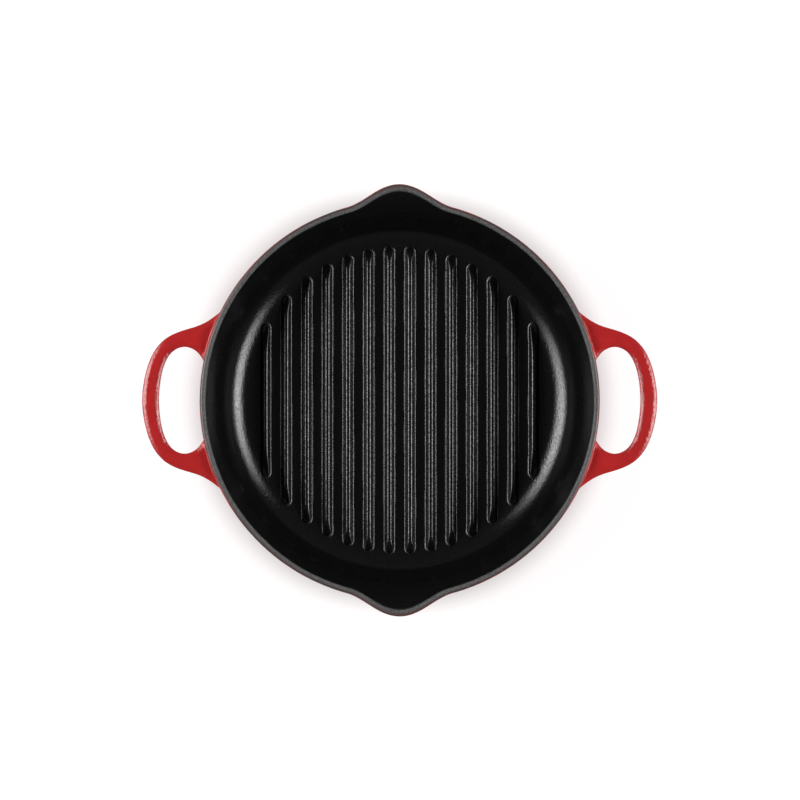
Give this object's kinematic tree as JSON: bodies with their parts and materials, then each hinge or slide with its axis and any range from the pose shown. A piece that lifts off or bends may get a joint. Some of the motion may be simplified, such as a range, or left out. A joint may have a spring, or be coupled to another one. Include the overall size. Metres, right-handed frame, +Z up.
{
  "type": "grill pan",
  "caption": "Round enamelled cast-iron grill pan with a ribbed floor, flared wall, opposed pouring lips and a loop handle on each side.",
  "frame": {"origin": "middle of the pan, on the surface that it stands on", "axes": "+X runs through the middle of the right-hand handle, +Y through a pouring lip and along the grill ribs, +Z up through the open top"},
  "size_m": [0.3346, 0.2806, 0.052],
  "materials": {
    "cast_iron": "matte",
    "black_enamel": "satin",
    "charcoal_enamel": "matte",
    "red_enamel": "gloss",
    "underside_enamel": "satin"
  },
  "bodies": {
    "root": {"base_plate": "cast_iron", "side_wall": "cast_iron", "grill_ribs": "cast_iron", "left_handle": "cast_iron", "right_handle": "cast_iron", "interior_enamel": "black_enamel", "rim_enamel": "charcoal_enamel", "exterior_enamel": "red_enamel", "underside_enamel": "underside_enamel", "left_handle_enamel": "red_enamel", "right_handle_enamel": "red_enamel"}
  },
  "joints": []
}
